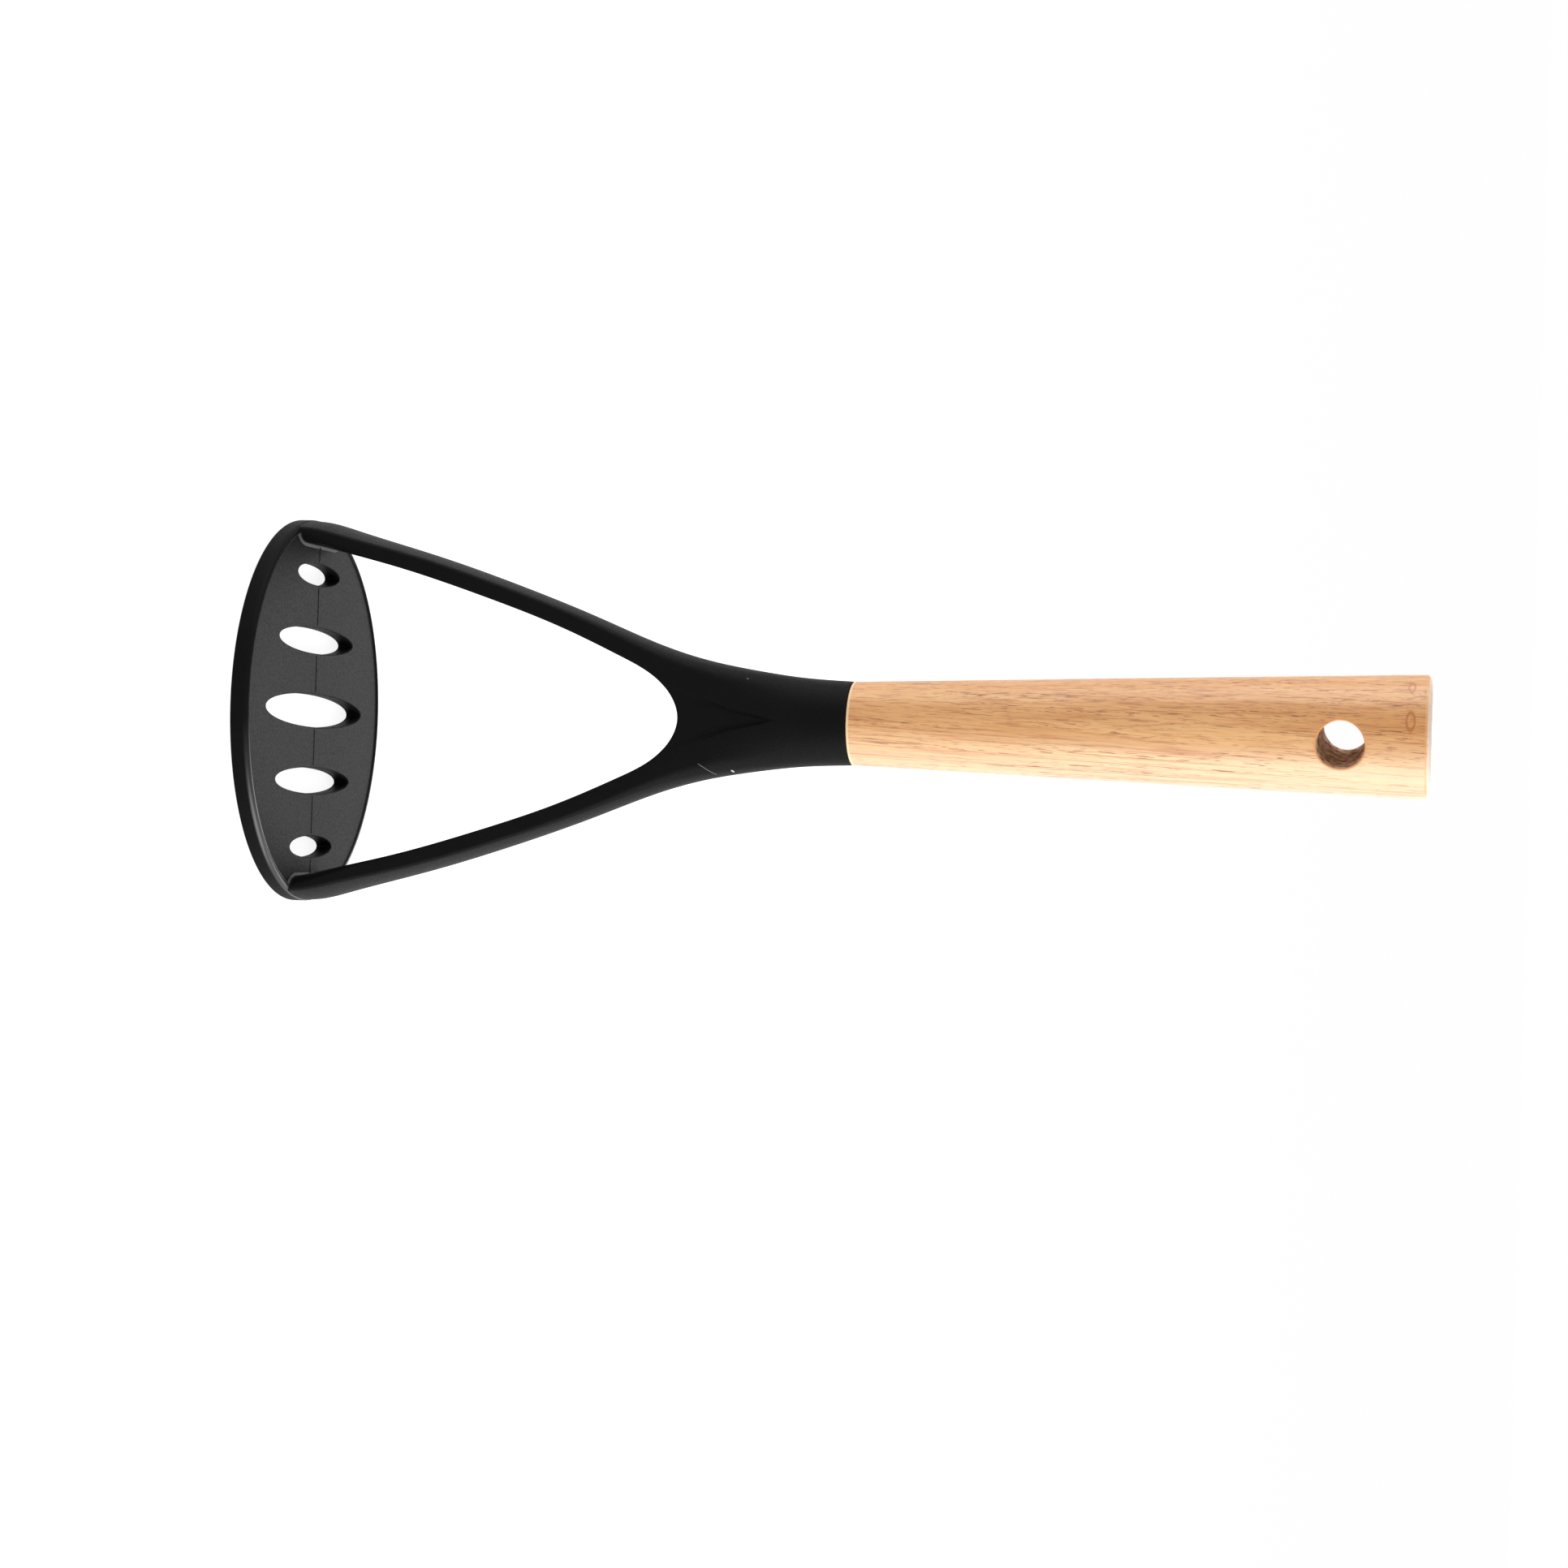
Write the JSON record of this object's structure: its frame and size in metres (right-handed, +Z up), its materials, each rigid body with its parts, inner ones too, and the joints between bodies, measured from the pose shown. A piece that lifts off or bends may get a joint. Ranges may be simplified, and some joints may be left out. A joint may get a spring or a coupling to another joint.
{
  "type": "potato masher",
  "caption": "Potato masher: round slotted nylon disc on broad arms that close into a neck, glued into a turned wooden handle with a hanging hole.",
  "frame": {"origin": "centre of the disc's flat underside, which is the bottom of the masher when it stands on its disc", "axes": "+Z up the handle, X across the two arms, front towards -Y"},
  "size_m": [0.085, 0.085, 0.25],
  "materials": {
    "nylon": "satin moulded, fine grain",
    "handle_wood": "satin lacquer",
    "glue": "cured, glossy"
  },
  "bodies": {
    "root": {"masher_head": "nylon", "wooden_handle": "handle_wood", "adhesive_bond": "glue"}
  },
  "joints": []
}
